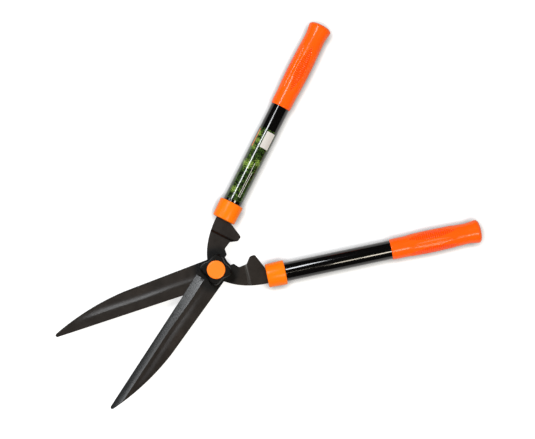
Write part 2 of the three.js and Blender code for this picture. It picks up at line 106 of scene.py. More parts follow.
class ShearsSettings(PropertyGroup):
    """Sizes and colours that a user would change."""

    # Blades.
    open_angle: angle("Open angle", "How far each half is swung open from closed", 15.2)
    hub_radius: length("Hub radius", "The cutting edge's line touches this circle", 17.8)
    blade_length: length("Blade length", "Pivot to nose", 222.3)
    tip_overlap: length("Tip overlap", "How far the edges have crossed when closed", 2)
    plate: length("Plate thickness", "Of the forging", 3)
    edge_thickness: length("Edge thickness", "Left by grinding", 0.8)
    bevel_width: length("Ground bevel width", "From the cutting edge, towards the nose", 9.7)
    bevel_heel: length("Ground bevel heel", "How much wider the bevel is near the hub", 2.1)
    bevel_start: length("Ground bevel start", "Along the edge, from the pivot's foot", 18)
    bevel_run_in: length("Ground bevel run-in", "Along the edge", 0.8)
    bevel_heel_dip: length("Ground bevel heel dip", "Of its middle, near the hub", 0.10)
    bevel_nose_dip: length("Ground bevel nose dip", "Of its middle, towards the nose", 0.48)
    heel_end: length("Heel end", "Along the edge, where the bevel starts to narrow", 50)
    heel_run: length("Heel run-out", "Along the edge", 55)
    left_land: length("Left land width", "From the edge to the pressed slope", 11.1)
    right_land: length("Right land width", "From the edge to the pressed slope", 13.7)
    land_heel: length("Land heel", "How much wider the land is near the hub", 1.8)
    land_nose: length("Land nose", "How much narrower the land is near the nose", 2.6)
    slope_width: length("Pressed slope width", "Across the blade", 11)
    press_depth: length("Pressed depth", "Of the hollow behind the slope", 1.12)
    press_heel: FloatProperty(
        name="Pressed heel", description="Share of the depth missing near the hub", default=0.36
    )
    left_hollow_start: length("Left hollow start", "Along the edge", 19.5)
    left_hollow_run: length("Left hollow run-in", "Along the edge", 5.5)
    right_hollow_start: length("Right hollow start", "Along the edge", 8)
    right_hollow_run: length("Right hollow run-in", "Along the edge", 60)
    fade_start: length("Hollow fade start", "Along the edge", 153)
    fade_run: length("Hollow fade", "Along the edge", 50)
    blade_round: length("Blade rounding", "On the forging's outline", 0.3)
    # How far the painted shade reaches beside the right joggle.
    joggle_shade_reach: length("Joggle grime", "How far it reaches beside the right joggle", 1)
    joggle_round: length("Joggle rounding", "Along the bends of the arms", 0.6)
    left_joggle: length("Left joggle shift", "Towards the hub", 3.3)

    # Handles.
    tube_round: length("Tube rounding", "On the rims of the tubes", 0.2)
    collar_round: length("Collar rounding", "On the rims and the slot of the collars", 0.5)
    rib_pitch: length("Rib pitch", "From one grip rib to the next", 2.7)
    rib_depth: length("Rib depth", "Crest to groove", 0.6)
    panel_middle: length("Rib panel middle", "From the grip's mouth", 54.5)
    panel_reach: length("Rib panel reach", "From its middle to either end", 33)
    panel_angle: angle("Rib panel half angle", "Round the grip, at its middle", 26)
    flat_angle: angle("Flat half angle", "Of the flats between the rib panels", 16)
    ridge_angle: angle("Ridge half angle", "Of the ridge along each flat", 6)
    ridge_rise: length("Ridge rise", "Above the flat", 0.55)
    left_panel: angle("Left panel turn", "First rib panel from the top, towards +Y", 35.5)
    right_panel: angle("Right panel turn", "First rib panel from the top, towards +Y", -11)

    # Knob.
    knob_lobes: IntProperty(name="Knob lobes", description="Round the knob", default=4, min=2)
    knob_turn: angle("Knob turn", "First lobe from +X", 45)
    knob_round: length("Knob rounding", "Round both rims", 1.6)
    knob_draft: length("Knob draft", "How much narrower the knob is at its top", 2.2)

    cap_round: length("Cap rounding", "On the cap's rims", 0.45)
    cap_slant: length("Cap slant", "Across the slanted border of its face", 1.2)
    cap_drop: length("Cap drop", "Of the slanted border", 0.5)
    fitting_round: length("Fitting rounding", "On the bolt, nut, washers and bush", 0.15)

    # Colours.
    coating: colour("Blade coating", "Brown-black satin coating", (0.0100, 0.0069, 0.0050))
    ground: colour("Ground bevel", "Coated over grinding marks", (0.0115, 0.0119, 0.0123))
    # Painted highlight along the left joggle's crease, in a pale steel colour.
    crease_highlight: colour("Worn crease", "Bare steel under the coating", (0.150, 0.148, 0.144))
    enamel: colour("Tube enamel", "Gloss black", (0.0016, 0.0014, 0.0014))
    grip: colour("Grip", "Red-orange", (0.96, 0.106, 0.0004))
    # Painted shade in the grips' rib grooves, a deeper red-orange.
    grip_groove_shade: colour("Grip groove", "Deeper red-orange", (0.90, 0.044, 0.0004))
    collar: colour("Collar", "Orange", (0.96, 0.180, 0.0004))
    cap: colour("Knob cap", "Orange", (0.95, 0.200, 0.006))
    knob: colour("Knob", "Satin black", (0.0030, 0.0025, 0.0022))
    zinc: colour("Zinc plate", "Bolt, nut, washers and pins", (0.55, 0.56, 0.58))
    brass: colour("Brass", "Bush", (0.70, 0.48, 0.18))
    plug: colour("Plug", "Grey plastic", (0.09, 0.095, 0.10))


# ---- places taken from the frame ----


def middle_of(node):
    low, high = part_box(node)
    return (low + high) / 2


PIVOT = Vector((0, 0, middle_of("left_tube").z))


def handle_place(side):
    """A handle's own axes: X along the tube, from the pivot's foot, Y towards +Y, Z up."""
    rear = middle_of(f"{side}_tube")
    along = (rear - middle_of(f"{side}_pin_front")).normalized()
    foot = rear - along * along.dot(rear - PIVOT)
    up = Vector((0, 0, 1))
    turn = Matrix((along, up.cross(along), up)).transposed()
    return Matrix.Translation(foot) @ turn.to_4x4()


def blade_place(side, sizes):
    """A blade's own axes: X along the cutting edge to the tip, Y from edge to spine, Z outwards."""
    tip = math.hypot(sizes.blade_length, sizes.tip_overlap)
    edge_angle = math.asin(sizes.hub_radius / tip) - math.atan2(
        sizes.tip_overlap, sizes.blade_length
    )
    closed = Matrix.Rotation(-edge_angle, 4, "Z") @ Matrix.Rotation(math.pi, 4, "Y")
    over = Matrix.Rotation(math.pi, 4, "X") if side == "right" else WORLD
    swing = sizes.open_angle if side == "right" else -sizes.open_angle
    foot = Matrix.Translation((0, -sizes.hub_radius, 0))
    return Matrix.Translation(PIVOT) @ Matrix.Rotation(swing, 4, "Z") @ over @ closed @ foot


def points_on(piece, place):
    """A piece's corners along the axes of place."""
    inverse = place.inverted()
    return [inverse @ vertex.co for vertex in piece.data.vertices]


def local_points(node, place=WORLD):
    """A CAD node's corners along the axes of place."""
    return points_on(NODES[node], place)


def rings(points):
    """(station, radius) of the rings of a piece turned about X, each once, from front to rear."""
    return sorted({(round(p.x, 6), round(math.hypot(p.y, p.z), 6)) for p in points})


def radii(node, above=-1, below=1):
    """How far a CAD node's corners between two levels are from the pivot."""
    return [math.hypot(p.x, p.y) for p in local_points(node) if above < p.z < below]


# ---- modelling ----


def new_object(name, data):
    piece = bpy.data.objects.new(name, data)
    bpy.context.scene.collection.objects.link(piece)
    return piece


def deselect():
    if bpy.context.object and bpy.context.object.mode != "OBJECT":
        bpy.ops.object.mode_set(mode="OBJECT")
    bpy.ops.object.select_all(action="DESELECT")


def activate(piece):
    deselect()
    piece.select_set(True)
    bpy.context.view_layer.objects.active = piece


def edit(piece):
    """Enters edit mode with everything selected."""
    activate(piece)
    bpy.ops.object.mode_set(mode="EDIT")
    bpy.ops.mesh.select_mode(type="VERT")
    bpy.ops.mesh.select_all(action="SELECT")


def edit_selected(piece, kind):
    """Enters edit mode with the edges or faces that are already selected."""
    activate(piece)
    bpy.context.tool_settings.mesh_select_mode = (False, kind == "EDGE", kind == "FACE")
    bpy.ops.object.mode_set(mode="EDIT")


def leave_edit():
    bpy.ops.object.mode_set(mode="OBJECT")


def keep_place():
    """Moves the place, turn and scale of what is selected into its mesh."""
    bpy.ops.object.transform_apply(location=True, rotation=True, scale=True)


def weld(piece):
    """Merges the corners that fell on one another."""
    edit(piece)
    bpy.ops.mesh.remove_doubles(threshold=2 * MERGING)
    leave_edit()


def divide(place, station, axis=0):
    """Cuts what is selected square to one of the place's axes."""
    point = Vector((0, 0, 0))
    point[axis] = station
    normal = place.to_3x3().col[axis]
    bpy.ops.mesh.bisect(plane_co=place @ point, plane_no=normal, threshold=1e-7)


ROUND_STEPS = 96  # sides of a turned piece
HOLE_SIDES = 64


def turned(name, outline, steps=ROUND_STEPS):
    """Spins an outline of (station, radius) pairs about the X axis."""
    deselect()
    bpy.ops.mesh.primitive_plane_add(size=MM)
    piece = bpy.context.object
    piece.name = piece.data.name = name
    edit(piece)
    bpy.ops.mesh.merge(type="CENTER")
    bpy.ops.transform.translate(value=(outline[0][0], 0, outline[0][1]))
    for (x, radius), (next_x, next_radius) in zip(outline, outline[1:]):
        step = (next_x - x, 0, next_radius - radius)
        bpy.ops.mesh.extrude_region_move(TRANSFORM_OT_translate={"value": step})
    bpy.ops.mesh.select_all(action="SELECT")
    bpy.ops.mesh.spin(steps=steps, angle=2 * math.pi, center=(0, 0, 0), axis=(1, 0, 0))
    bpy.ops.mesh.select_all(action="SELECT")
    bpy.ops.mesh.remove_doubles(threshold=MERGING)
    bpy.ops.mesh.normals_make_consistent(inside=False)
    leave_edit()
    return piece


def put(piece, place):
    """Moves a piece made at the origin to its place, and keeps the place in its mesh."""
    activate(piece)
    piece.matrix_world = place
    keep_place()


def use_modifier(piece, kind, **values):
    activate(piece)
    modifier = piece.modifiers.new(kind.title(), kind)
    for key, value in values.items():
        setattr(modifier, key, value)
    bpy.ops.object.modifier_apply(modifier=modifier.name)


def round_edges(piece, width, segments=3, degrees=35):
    """Rounds the edges that are sharper than so many degrees."""
    angle_limit = math.radians(degrees)
    values = {"width": width, "segments": segments, "angle_limit": angle_limit}
    use_modifier(piece, "BEVEL", limit_method="ANGLE", **values)


def shade(piece, degrees=40):
    activate(piece)
    bpy.ops.object.shade_smooth_by_angle(angle=math.radians(degrees))


def flatten_shading(piece):
    """Keeps wide flat faces flat next to rounded edges."""
    use_modifier(piece, "WEIGHTED_NORMAL", keep_sharp=True, weight=100)


def cut(piece, cutter):
    use_modifier(piece, "BOOLEAN", operation="DIFFERENCE", solver="EXACT", object=cutter)
    bpy.data.objects.remove(cutter)


def cut_box(piece, low, high):
    deselect()
    bpy.ops.mesh.primitive_cube_add(size=1, location=(low + high) / 2)
    cutter = bpy.context.object
    cutter.scale = high - low
    keep_place()
    cut(piece, cutter)


def drill(piece, radius, bottom, top, sides=HOLE_SIDES, turn=0, station=0):
    """Cuts an upright hole, round or with a few sides."""
    deselect()
    centre = (station, 0, (bottom + top) / 2)
    bpy.ops.mesh.primitive_cylinder_add(
        vertices=sides, radius=radius, depth=top - bottom, location=centre
    )
    cutter = bpy.context.object
    cutter.rotation_euler.z = turn
    cut(piece, cutter)


def copied(node, name):
    """A new object with a merged copy of a CAD node's mesh."""
    mesh = NODES[node].data.copy()
    mesh.name = name
    mesh.materials.clear()
    piece = new_object(name, mesh)
    activate(piece)
    bpy.ops.mesh.customdata_custom_splitnormals_clear()
    edit(piece)
    bpy.ops.mesh.remove_doubles(threshold=MERGING)
    bpy.ops.mesh.dissolve_limited(angle_limit=FLAT)
    leave_edit()
    return piece


def fresh_uv(piece, name):
    """The data of a UV map that is the piece's only one."""
    layers = piece.data.uv_layers
    for layer in list(layers):
        layers.remove(layer)
    return layers.new(name=name).data


def finish(piece, node, *materials):
    """Gives a piece its materials, parents it to its CAD node's body, and hides that CAD node."""
    for material in materials:
        piece.data.materials.append(material)
    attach(piece, BODIES[node])
    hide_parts(node)


def settle(piece, node, place, material):
    """Finishes a piece that was turned about the X axis of its place."""
    shade(piece)
    put(piece, place)
    finish(piece, node, material)


def share(value, low, high):
    """How far a value has come from low to high, from 0 to 1."""
    return min(max((value - low) / (high - low), 0), 1)


def smooth_step(value, low, high):
    t = share(value, low, high)
    return t * t * (3 - 2 * t)


def smooth_line(points, step):
    """Points along a Catmull-Rom curve through (station, radius) pairs."""
    ends = [points[0], *points, points[-1]]
    line = [points[0]]
    for near in zip(ends, ends[1:], ends[2:], ends[3:]):
        count = max(1, round(math.dist(near[1], near[2]) / step))
        line.extend(tuple(curve(*axis, i / count) for axis in zip(*near)) for i in range(1, count + 1))
    return line


def curve(p, q, r, s, t):
    """From q to r as t goes from 0 to 1."""
    bend = (2 * p - 5 * q + 4 * r - s) * t**2 + (3 * q - p - 3 * r + s) * t**3
    return (2 * q + (r - p) * t + bend) / 2


# ---- materials ----


class Nodes:
    """Adds nodes to a tree and links them."""

    def __init__(self, tree):
        self.tree = tree

    def fill(self, node, inputs):
        """Gives a node's inputs their values, or links those that come from other nodes."""
        for key, value in inputs.items():
            if isinstance(value, bpy.types.NodeSocket):
                self.tree.links.new(value, node.inputs[key])
            else:
                node.inputs[key].default_value = value
        return node

    def add(self, kind, inputs=None, **values):
        node = self.tree.nodes.new(kind)
        for key, value in values.items():
            setattr(node, key, value)
        return self.fill(node, inputs or {})

    def math(self, operation, *values, clamp=False):
        inputs = dict(enumerate(values))
        return self.add("ShaderNodeMath", inputs, operation=operation, use_clamp=clamp).outputs[0]

    def squares(self, first, second):
        """The sum of two values' squares."""
        return self.math("ADD", self.math("POWER", first, 2), self.math("POWER", second, 2))

    def mix(self, factor, first, second):
        inputs = {0: factor, 6: first, 7: second}
        return self.add("ShaderNodeMix", inputs, data_type="RGBA").outputs[2]

    def range(self, value, low, high, to_low, to_high, smooth=False):
        kind = "SMOOTHSTEP" if smooth else "LINEAR"
        inputs = {0: value, 1: low, 2: high, 3: to_low, 4: to_high}
        return self.add("ShaderNodeMapRange", inputs, interpolation_type=kind).outputs[0]

    def noise(self, vector, scale, detail=2.0, roughness=0.5):
        inputs = {"Vector": vector, "Scale": scale, "Detail": detail, "Roughness": roughness}
        return self.add("ShaderNodeTexNoise", inputs).outputs[0]

    def noise_of_size(self, vector, size, detail, roughness=0.5):
        return self.noise(vector, self.math("DIVIDE", 1, size), detail, roughness)

    def bump(self, **inputs):
        inputs = {key.capitalize(): value for key, value in inputs.items()}
        return self.add("ShaderNodeBump", inputs).outputs[0]

    def axes(self, vector):
        return self.add("ShaderNodeSeparateXYZ", {"Vector": vector}).outputs

    def uv(self, name):
        return self.add("ShaderNodeUVMap", uv_map=name).outputs[0]

    def mark(self, name):
        """What a piece's corners are marked with, or 0 where they are not."""
        return self.add("ShaderNodeAttribute", attribute_name=name).outputs["Fac"]


def rgba(value, times=1):
    return (*(channel * times for channel in value), 1)


def new_group(name, inputs, outputs):
    """A shader node group, with its own nodes for what it is given and for its result."""
    tree = bpy.data.node_groups.new(name, "ShaderNodeTree")
    for way, labels in (("INPUT", inputs), ("OUTPUT", outputs)):
        for label in labels:
            kind = "Vector" if label in ("Vector", "Normal") else "Float"
            tree.interface.new_socket(label, in_out=way, socket_type=f"NodeSocket{kind}")
    nodes = Nodes(tree)
    return nodes, nodes.add("NodeGroupInput").outputs, nodes.add("NodeGroupOutput")


def mottle_group():
    """Slow and fine unevenness of a surface: two masks, a roughness and a bumped normal."""
    sizes = ("Vector", "Patch size", "Grain size")
    depths = ("Roughness", "Roughness spread", "Bump", "Bump height")
    outputs = ("Patches", "Grain", "Roughness", "Normal")
    nodes, given, result = new_group("mottle", sizes + depths, outputs)
    patches = nodes.noise_of_size(given["Vector"], given["Patch size"], 3)
    grain = nodes.noise_of_size(given["Vector"], given["Grain size"], 2, 0.6)
    even = nodes.math("SUBTRACT", nodes.math("ADD", patches, grain), 1)
    rough = nodes.math("MULTIPLY_ADD", even, given["Roughness spread"], given["Roughness"])
    bump = nodes.bump(strength=given["Bump"], distance=given["Bump height"], height=grain)
    nodes.fill(result, dict(zip(outputs, (patches, grain, rough, bump))))
    return nodes.tree


def dust_group():
    """Sparse pale specks and faint scuffs."""
    inputs = ("Vector", "Speck size", "Scuff size", "Amount")
    nodes, given, result = new_group("dust", inputs, ("Mask",))
    specks = nodes.noise_of_size(given["Vector"], given["Speck size"], 1)
    scuffs = nodes.noise_of_size(given["Vector"], given["Scuff size"], 4, 0.7)
    specks = nodes.range(specks, 0.68, 0.78, 0, 1)
    scuffs = nodes.range(scuffs, 0.58, 0.74, 0, 0.6, smooth=True)
    both = nodes.math("MAXIMUM", specks, scuffs)
    nodes.fill(result, {"Mask": nodes.math("MULTIPLY", both, given["Amount"], clamp=True)})
    return nodes.tree


GROUPS = {"mottle": mottle_group, "dust": dust_group}


def group(nodes, name, **inputs):
    tree = bpy.data.node_groups.get(name) or GROUPS[name]()
    inputs = {key.replace("_", " ").capitalize(): value for key, value in inputs.items()}
    return nodes.add("ShaderNodeGroup", inputs, node_tree=tree).outputs


def new_material(name, **constants):
    """A material with one Principled shader, whose constants are set on its own sockets."""
    material = bpy.data.materials.new(name)
    material.use_nodes = True
    nodes = Nodes(material.node_tree)
    link(nodes, **constants)
    place = nodes.add("ShaderNodeTexCoord").outputs["Object"]
    return material, nodes, place


def link(nodes, **inputs):
    """Gives the material's Principled shader values, or links to other nodes."""
    inputs = {key.replace("_", " "): value for key, value in inputs.items()}
    nodes.fill(nodes.tree.nodes["Principled BSDF"], inputs)


def link_uneven(nodes, tone, uneven):
    """Links a colour, and the roughness and normal of the mottle group."""
    link(nodes, Base_Color=tone, Roughness=uneven["Roughness"], Normal=uneven["Normal"])


def coated_steel(sizes):
    """Brown-black coating over forged steel, scuffed here and there, with painted shade round the
    knob's foot and on the right joggle, and a painted highlight on the left joggle.
    """
    material, nodes, place = new_material("coated_steel", Specular_IOR_Level=0.35)
    base = rgba(sizes.coating)
    pale = rgba(sizes.coating, 2.4)
    uneven = group(
        nodes, "mottle", vector=place, patch_size=0.014, grain_size=0.0011,
        roughness=0.35, roughness_spread=0.14, bump=0.45, bump_height=0.00010,
    )
    dust = group(nodes, "dust", vector=place, speck_size=0.0012, scuff_size=0.02, amount=0.30)
    tone = nodes.mix(nodes.range(uneven["Patches"], 0.38, 0.72, 0, 0.35), base, pale)
    tone = nodes.mix(nodes.range(uneven["Grain"], 0.35, 0.7, 0, 0.30), tone, pale)
    tone = nodes.mix(dust["Mask"], tone, pale)
    tone = nodes.mix(rubbed_patch(nodes, uneven["Grain"]), tone, pale)
    # Painted shade: the marked right joggle and a ring round the knob's foot are mixed towards black.
    painted_shade = nodes.math("MAXIMUM", nodes.mark("painted_shade"), hub_painted_shade(nodes, place))
    tone = nodes.mix(painted_shade, tone, (0, 0, 0, 1))
    # Painted highlight: the marked left joggle is mixed towards the pale crease colour, broken by the
    # grain.
    highlight_mask = nodes.range(uneven["Grain"], 0.35, 0.6, 0.45, 1)
    highlight_mask = nodes.math("MULTIPLY", nodes.mark("painted_highlight"), highlight_mask)
    link_uneven(nodes, nodes.mix(highlight_mask, tone, rgba(sizes.crease_highlight)), uneven)
    return material


# The scuffs, along the blade's own axes.
SCUFF_PLACE = (100 * MM, 23 * MM)
SCUFF_REACH = (20 * MM, 6 * MM)


def rubbed_patch(nodes, grain):
    """A mask of the scuffs in the middle of the blade, behind its pressed slope."""
    off = [
        nodes.math("DIVIDE", nodes.math("SUBTRACT", axis, place), reach)
        for axis, place, reach in zip(nodes.axes(nodes.uv("blade")), SCUFF_PLACE, SCUFF_REACH)
    ]
    patch = nodes.range(nodes.squares(*off), 0, 1, 1, 0, smooth=True)
    return nodes.math("MULTIPLY", patch, nodes.range(grain, 0.35, 0.65, 0.15, 1))


HUB_SHADE_RADII = (24 * MM, 34 * MM)  # painted shade round the knob's foot: where it is darkest, and where it ends


def hub_painted_shade(nodes, place):
    """A mask of painted shade round the knob's foot."""
    off = nodes.math("SQRT", nodes.squares(*nodes.axes(place)[:2]))
    return nodes.range(off, *HUB_SHADE_RADII, 0.9, 0, smooth=True)


def ground_steel(sizes):
    """The bevel: fine grinding marks run across it, and the coating is thinner."""
    material, nodes, place = new_material("ground_steel", Specular_IOR_Level=0.55)
    stretch = {"Vector": nodes.uv("blade"), "Scale": (1.0, 0.04, 1.0)}
    marks = nodes.noise(nodes.add("ShaderNodeMapping", stretch).outputs[0], 2200, 3, 0.6)
    uneven = group(
        nodes, "mottle", vector=place, patch_size=0.02, grain_size=0.0007,
        roughness=0.26, roughness_spread=0.1, bump=0.15, bump_height=0.00008,
    )
    lines = nodes.range(marks, 0.3, 0.7, 0.0, 0.5)
    tone = nodes.mix(lines, rgba(sizes.ground), rgba(sizes.ground, 1.7))
    bump = nodes.bump(strength=0.12, distance=0.0001, height=marks, normal=uneven["Normal"])
    link(nodes, Base_Color=tone, Roughness=uneven["Roughness"], Normal=bump)
    return material


def enamel(sizes):
    material, nodes, place = new_material("black_enamel", Coat_Weight=0.32, Coat_Roughness=0.06)
    uneven = group(
        nodes, "mottle", vector=place, patch_size=0.012, grain_size=0.0025,
        roughness=0.13, roughness_spread=0.06, bump=0.05, bump_height=0.0001,
    )
    dust = group(nodes, "dust", vector=place, speck_size=0.0008, scuff_size=0.015, amount=0.12)
    tone = nodes.mix(dust["Mask"], rgba(sizes.enamel), (0.05, 0.045, 0.04, 1))
    link_uneven(nodes, tone, uneven)
    return material


def plastic(name, colours, gloss, roughness, grain=0.001, bump=0.12, dust=0.05):
    """Moulded plastic. Its last colour is painted shade in the piece's own rib hollows."""
    material, nodes, place = new_material(name, Specular_IOR_Level=gloss)
    base, groove_shade_tone = colours[0], colours[-1]
    uneven = group(
        nodes, "mottle", vector=place, patch_size=0.02, grain_size=grain,
        roughness=roughness, roughness_spread=0.08, bump=bump, bump_height=0.0001,
    )
    specks = group(nodes, "dust", vector=place, speck_size=0.0006, scuff_size=0.012, amount=dust)
    deeper = nodes.range(uneven["Patches"], 0.3, 0.7, 0, 0.5)
    tone = nodes.mix(deeper, rgba(base), rgba(base, 0.86))
    # Painted shade: the marked grooves are mixed towards the last colour.
    tone = nodes.mix(nodes.mark("groove"), tone, rgba(groove_shade_tone))
    link_uneven(nodes, nodes.mix(specks["Mask"], tone, (0.32, 0.3, 0.27, 1)), uneven)
    return material


def plated(name, base, roughness):
    material, nodes, place = new_material(name, Metallic=1.0)
    uneven = group(
        nodes, "mottle", vector=place, patch_size=0.006, grain_size=0.0006,
        roughness=roughness, roughness_spread=0.15, bump=0.08, bump_height=0.0001,
    )
    dull = nodes.range(uneven["Patches"], 0.35, 0.7, 0, 0.8)
    link_uneven(nodes, nodes.mix(dull, rgba(base), rgba(base, 0.75)), uneven)
    return material


# Places on the label in millimetres: along it from its front end, and round it from its top.
LABEL_SHRUBS = ((50, 2, 6), (56, -7, 5), (50, 9, 5), (73, 8, 4), (83, 7, 4), (92, 9, 4), (13, 6, 5))
PALE_PRINT = (0.60, 0.57, 0.54)
ORANGE_PRINT = (0.80, 0.20, 0.03)
LABEL_PRINTS = (
    ((76, 98.5), (-12, 0.5), PALE_PRINT),
    ((73, 98), (11.2, 12.6), ORANGE_PRINT),
    ((6, 42), (-6.6, -6.0), PALE_PRINT),
    ((6, 54), (-4.4, -3.8), PALE_PRINT),
)
SHADED, GREEN, SUNLIT = (0.002, 0.004, 0.001, 1), (0.030, 0.075, 0.008, 1), (0.26, 0.40, 0.06, 1)


def printed_film():
    """A clear-coated label: dark leafy greens, sunlit shrubs, two fine rules and a plain panel."""
    material, nodes, _ = new_material("printed_film", Coat_Weight=0.6, Coat_Roughness=0.05)
    uv = nodes.uv("wrap")
    leaves = nodes.noise(uv, 800, 3, 0.7)
    fronds = nodes.noise(uv, 480, 2, 0.6)
    clumps = nodes.noise(uv, 210, 3, 0.6)
    growth = nodes.math("MULTIPLY", leaves, nodes.range(clumps, 0.32, 0.68, 0.6, 1.25))
    tone = nodes.mix(nodes.range(growth, 0.38, 0.62, 0, 1), SHADED, GREEN)
    tone = nodes.mix(nodes.range(growth, 0.58, 0.78, 0, 0.7), tone, SUNLIT)
    axes = nodes.axes(uv)
    for *place, size in LABEL_SHRUBS:
        off = [nodes.math("SUBTRACT", axis, at * MM) for axis, at in zip(axes, place)]
        reach = nodes.math("DIVIDE", nodes.math("SQRT", nodes.squares(*off)), size * MM)
        ragged = nodes.math("MULTIPLY_ADD", fronds, 2.4, reach)
        shrub = nodes.range(ragged, 1.7, 2.3, 1, 0, smooth=True)
        light = nodes.math("MULTIPLY", shrub, nodes.range(leaves, 0.42, 0.58, 0, 1))
        tone = nodes.mix(light, tone, SUNLIT)
    for *spans, print_colour in LABEL_PRINTS:
        within = [between(nodes, axis, *span) for axis, span in zip(axes, spans)]
        tone = nodes.mix(nodes.math("MULTIPLY", *within), tone, rgba(print_colour))
    link(nodes, Base_Color=tone, Roughness=nodes.range(clumps, 0, 1, 0.14, 0.24))
    return material


def between(nodes, value, low, high):
    above = nodes.math("GREATER_THAN", value, low * MM)
    return nodes.math("MULTIPLY", above, nodes.math("LESS_THAN", value, high * MM))


# ---- pieces ----


class SHEARS_OT_blades(Operator):
    """Finishes both forgings: rounded edges, bent arms and ground bevels."""

    bl_idname = "shears.blades"
    bl_label = "Blades"

    def execute(self, context):
        sizes = context.scene.shears
        materials = coated_steel(sizes), ground_steel(sizes)
        for side in SIDES:
            node = f"{side}_blade"
            arm = handle_place(side)
            place = blade_place(side, sizes)
            blade = copied(node, f"{side}_forging")
            if side == "left":
                shift_joggle(blade, arm, sizes)
            bends = round_joggle(blade, arm, sizes)
            press_blade(blade, place, side, sizes)
            if side == "right":
                relieve(blade)
            round_edges(blade, sizes.blade_round, 2, 50)
            weld(blade)
            shade(blade, 50)
            mark_ground(blade, place, side, sizes)
            flatten_shading(blade)
            lay_uv(blade, place)
            mark_joggle(blade, arm, bends, side, sizes)
            finish(blade, node, *materials)
        return {"FINISHED"}


# Corners of the recesses in the right half's under face, in millimetres.
RELIEFS = (((-54, -36, 0), (-30, -21, 8.1)), ((23, 36, 0), (34, 50, 5.7)))


def relieve(blade):
    """Makes room for the left half's arm and heel, which pass under when it is wide open."""
    for low, high in RELIEFS:
        cut_box(blade, Vector(low) * MM, Vector(high) * MM)


def find_creases(blade, place, sizes):
    """Selects the creases straight across the arm. Gives their (station, level), lowest first."""
    edit(blade)
    bpy.ops.mesh.select_mode(type="EDGE")
    bpy.ops.mesh.select_all(action="DESELECT")
    leave_edit()
    points = points_on(blade, place)
    creases = set()
    for edge in blade.data.edges:
        a, b = (points[i] for i in edge.vertices)
        across = abs(a.x - b.x) < TOUCHING and abs(a.y - b.y) > sizes.hub_radius / 5
        edge.select = across and a.x < sizes.hub_radius * 3 and abs(a.z - b.z) < TOUCHING
        if edge.select:
            creases.add((round(a.x, 6), round(a.z, 6)))
    return sorted(creases, key=lambda crease: (crease[1], crease[0]))


def shift_joggle(blade, place, sizes):
    """Bends the arm nearer the hub, and leaves its outline alone."""
    creases = find_creases(blade, place, sizes)
    surfaces = sorted(creases[:2]), sorted(creases[2:])
    for station, _ in sorted(creases):
        edit(blade)
        divide(place, station - sizes.left_joggle)
        leave_edit()
    first, last = min(creases)[0] - sizes.left_joggle, max(creases)[0]
    for vertex, point in zip(blade.data.vertices, points_on(blade, place)):
        if first - TOUCHING < point.x < last + TOUCHING:
            levels = [abs(bend_level(surface, point.x) - point.z) for surface in surfaces]
            surface = surfaces[levels.index(min(levels))]
            point.z = bend_level(surface, point.x + sizes.left_joggle)
            vertex.co = place @ point
    edit(blade)
    bpy.ops.mesh.dissolve_limited(angle_limit=FLAT)
    leave_edit()


def bend_level(creases, station):
    """The level of a surface that is bent at two creases."""
    (start, low), (end, high) = creases
    return low + (high - low) * share(station, start, end)


def round_joggle(blade, place, sizes):
    """Rounds the arm's creases, and gives the stations of the upper two."""
    creases = find_creases(blade, place, sizes)
    edit_selected(blade, "EDGE")
    bpy.ops.mesh.bevel(offset=sizes.joggle_round, segments=4, affect="EDGES", clamp_overlap=True)
    leave_edit()
    return [station for station, _ in creases[2:]]


def mark_joggle(blade, place, bends, side, sizes):
    """Marks the joggle's upper side: a painted highlight on the left half, and painted shade on the
    right.
    """
    middle = sum(bends) / 2
    reach = abs(bends[1] - bends[0]) / 2 + sizes.joggle_round
    if side == "right":
        reach += sizes.joggle_shade_reach
    for way in (-1, 1):
        edit(blade)
        divide(place, middle + way * (reach + sizes.joggle_round))
        leave_edit()
    kind = "painted_highlight" if side == "left" else "painted_shade"
    mark = blade.data.attributes.new(kind, "FLOAT", "POINT").data
    for vertex, point in zip(blade.data.vertices, points_on(blade, place)):
        if vertex.normal.z > FACING:
            mark[vertex.index].value = 1 - smooth_step(abs(point.x - middle), 0, reach)


def nearness(u, sizes):
    """1 along the blade's heel, falling to 0 past it."""
    return 1 - smooth_step(u, sizes.heel_end, sizes.heel_end + sizes.heel_run)


def land_width(u, side, sizes):
    """From the cutting edge to the pressed slope."""
    land = getattr(sizes, f"{side}_land")
    nose = smooth_step(u, sizes.fade_start, sizes.fade_start + sizes.fade_run)
    return land + sizes.land_heel * nearness(u, sizes) - sizes.land_nose * nose


def hollow_span(side, sizes):
    """Where along the edge the pressed slope starts, and where it is as deep as it gets."""
    start = getattr(sizes, f"{side}_hollow_start")
    return start, start + getattr(sizes, f"{side}_hollow_run")


# The lines that divide the blade before it is pressed.
FINE = 0.8 * MM  # apart, along the pressed slope
COARSE = 8 * MM  # apart, across the blade where it hardly changes
BEVEL_PARTS = 8  # across the bevel
START_PARTS = 8  # along the start of the hollow
FADE_PARTS = 12  # along its end
PAST_SLOPE = 5 * MM
PAST_FADE = 3


def evenly(low, high, count):
    return [low + (high - low) * i / count for i in range(count + 1)]


